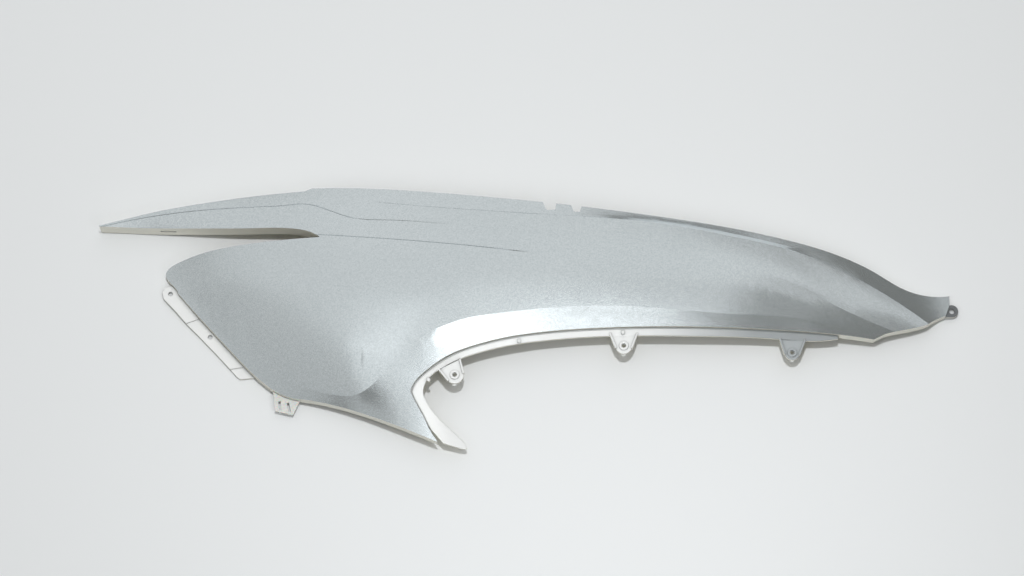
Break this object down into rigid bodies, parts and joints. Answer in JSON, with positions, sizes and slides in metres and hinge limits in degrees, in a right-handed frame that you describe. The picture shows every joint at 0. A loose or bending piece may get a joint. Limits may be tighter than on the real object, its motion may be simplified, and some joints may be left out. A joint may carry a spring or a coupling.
{
  "type": "scooter side panel",
  "caption": "Long moulded scooter side panel: crowned painted shell with a split blade front, a wheel-arch cut-out with recessed lip, screw tabs and a tail ring.",
  "frame": {"origin": "centre of the panel's footprint, at the lowest point of its edge as it lies outer face up", "axes": "+X along the panel to its tail, +Y towards the seat edge, +Z out of the painted face"},
  "size_m": [0.8054, 0.2508, 0.0481],
  "materials": {
    "silver_paint": "silver metallic paint under clear coat on moulded ABS"
  },
  "bodies": {
    "root": {"side_panel": "silver_paint"}
  },
  "joints": []
}
